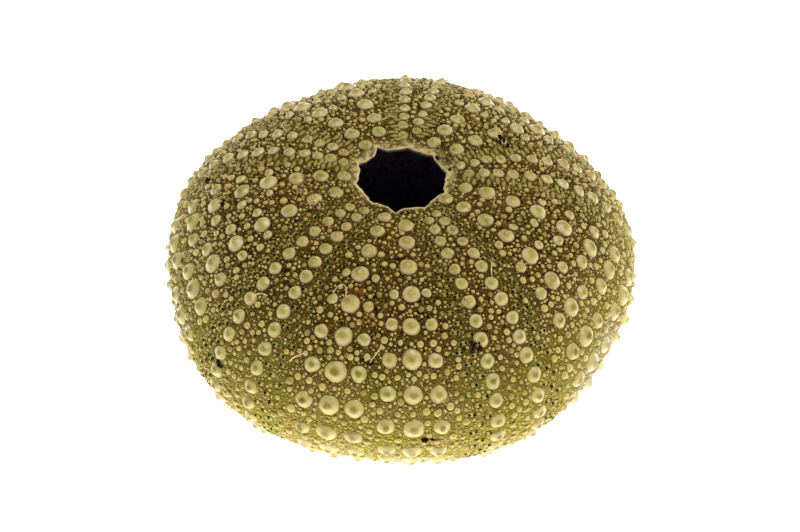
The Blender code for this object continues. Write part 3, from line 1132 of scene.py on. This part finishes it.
def strew_crumbs():
    """Dark crumbs, in a few heaps that lie along the wall."""
    chance = crumbs.chance
    for at, degrees, reach, coarse in CRUMB_PLACES:
        for _ in range(CRUMB_GRAINS):
            grain = coarse * chance.uniform(*CRUMB_SIZES)
            place = at + chance.gauss(0.0, reach / 2)
            azimuth = math.radians(degrees) + meridian.turn(chance.gauss(0.0, reach), place)
            tall = coarse * chance.uniform(*CRUMB_HEIGHTS) + CRUMB_ROOT
            crumbs.grow(place, azimuth, grain, tall, stretch=chance.uniform(*CRUMB_STRETCH))


strew_sand()
strew_crumbs()
grain_shape = spun_shape("grain", GRANULE_PROFILE, LITTER_SEGMENTS, smooth=False)
crumb_shape = spun_shape("crumb", GRANULE_PROFILE, LITTER_SEGMENTS, smooth=False)
scatter("sand_grains", grain_shape, sand.knobs, sand_skin)
scatter("dark_crumbs", crumb_shape, crumbs.knobs, crumb_skin)

# Fibres by (place, azimuth in degrees, height over the wall) of the points that they pass
FIBRE_RADIUS = 0.045
FIBRE_STEPS = 6
FIBRES = (
    ((14.2, -126.0, 0.3), (13.9, -124.0, 0.6), (13.5, -121.8, 0.7), (13.1, -120.6, 0.6), (12.8, -120.0, 0.3)),
    ((19.3, -46.8, 0.3), (18.9, -46.2, 0.6), (18.5, -45.4, 0.7), (18.2, -44.2, 0.65), (18.1, -43.2, 0.3)),
    ((7.5, -176.0, 0.35), (7.9, -171.0, 0.6), (7.6, -166.0, 0.5), (7.9, -161.0, 0.25)),
    ((15.3, -23.6, 0.3), (14.7, -22.6, 0.6), (14.4, -20.8, 0.7), (14.8, -19.2, 0.6), (15.4, -19.0, 0.3)),
    ((14.4, 36.3, 0.3), (13.9, 36.9, 0.6), (13.4, 38.6, 0.7), (13.0, 39.6, 0.35)),
    ((19.2, -4.6, 0.5), (19.8, -5.2, 0.75), (20.5, -6.6, 0.7), (21.0, -7.4, 0.3)),
    ((22.5, -28.4, 0.3), (22.0, -27.6, 0.6), (21.6, -26.4, 0.6), (21.3, -25.4, 0.3)),
    ((25.2, 47.0, 0.3), (24.7, 47.8, 0.55), (24.3, 49.0, 0.3)),
)


def build_fibres():
    """The fibres as thin round curves, made a mesh."""
    strands = bpy.data.curves.new("fibres", "CURVE")
    strands.dimensions = "3D"
    strands.bevel_depth = FIBRE_RADIUS * MM
    strands.bevel_resolution = 1
    strands.resolution_u = FIBRE_STEPS
    strands.use_fill_caps = True
    for places in FIBRES:
        strand = strands.splines.new("BEZIER")
        strand.bezier_points.add(len(places) - 1)
        for bend, (at, degrees, height) in zip(strand.bezier_points, places):
            bend.co = meridian.point(at, math.radians(degrees), height - WALL_DEPTH) * MM
            bend.handle_left_type = bend.handle_right_type = "AUTO"
    holder = bpy.data.objects.new("fibre curves", strands)
    bpy.context.scene.collection.objects.link(holder)
    mesh = bpy.data.meshes.new_from_object(holder.evaluated_get(bpy.context.evaluated_depsgraph_get()))
    bpy.data.objects.remove(holder)
    for face in mesh.polygons:
        face.use_smooth = True
    shown("dry_fibres", mesh, fibre_skin)


build_fibres()


# Room: a white floor that lights the shell's flanks, and a broad soft light above
FLOOR_SIZE = 4.0
PAPER = 0.9
PAPER_GLOW = 3.6
ROOM_GLOW = 0.18
WHITE = (1.0, 1.0, 1.0, 1.0)
LAMP_PLACE = (0.09, 0.05, 0.46)
LAMP_SIZE = 0.11
LAMP_POWER = 2.6


def lay_floor():
    """A large sheet of white paper, lit so that it shows no shadow."""
    bm = bmesh.new()
    bmesh.ops.create_grid(bm, x_segments=1, y_segments=1, size=FLOOR_SIZE / 2)
    mesh = bpy.data.meshes.new("floor")
    bm.to_mesh(mesh)
    bm.free()
    paper = bpy.data.materials.new("white_paper")
    paper.use_nodes = True
    surface = paper.node_tree.nodes["Principled BSDF"]
    surface.inputs["Base Color"].default_value = (PAPER, PAPER, PAPER, 1.0)
    surface.inputs["Roughness"].default_value = PAPER
    surface.inputs["Emission Color"].default_value = WHITE
    surface.inputs["Emission Strength"].default_value = PAPER_GLOW
    mesh.materials.append(paper)
    floor = bpy.data.objects.new("floor", mesh)
    bpy.context.scene.collection.objects.link(floor)


def light_room():
    """A faint even light from all round and a soft lamp a little to the right of the top."""
    world = bpy.data.worlds.new("studio")
    world.use_nodes = True
    around = world.node_tree.nodes["Background"].inputs
    around["Color"].default_value = WHITE
    around["Strength"].default_value = ROOM_GLOW
    bpy.context.scene.world = world
    lamp = bpy.data.lights.new("overhead", "AREA")
    lamp.shape = "DISK"
    lamp.size = LAMP_SIZE
    lamp.energy = LAMP_POWER
    light = bpy.data.objects.new("overhead", lamp)
    bpy.context.scene.collection.objects.link(light)
    light.location = LAMP_PLACE
    light.rotation_euler = (-Vector(LAMP_PLACE)).to_track_quat("-Z", "Y").to_euler()


# Camera: above and in front, aimed at the middle of the ambitus
CAMERA_ELEVATION = math.radians(45.7)
CAMERA_DISTANCE = 272.4
CAMERA_ROLL = math.radians(1.36)
TARGET = Vector((0.0, 0.0, AMBITUS))
SENSOR = 36.0
FOCAL_LENGTH = 125.8
SHIFT = (0.0004, -0.0036)
CLIP_END = 10.0


def set_camera():
    """The photo's view."""
    lens = bpy.data.cameras.new("camera")
    lens.sensor_width = SENSOR
    lens.lens = FOCAL_LENGTH
    lens.shift_x, lens.shift_y = SHIFT
    lens.clip_end = CLIP_END
    camera = bpy.data.objects.new("camera", lens)
    bpy.context.scene.collection.objects.link(camera)
    away = Vector((0.0, -math.cos(CAMERA_ELEVATION), math.sin(CAMERA_ELEVATION)))
    camera.location = (TARGET + away * CAMERA_DISTANCE) * MM
    aim = (-away).to_track_quat("-Z", "Y").to_matrix() @ Matrix.Rotation(CAMERA_ROLL, 3, "Z")
    camera.rotation_euler = aim.to_euler()
    bpy.context.scene.camera = camera


lay_floor()
light_room()
set_camera()
bpy.context.scene.view_settings.view_transform = "Standard"
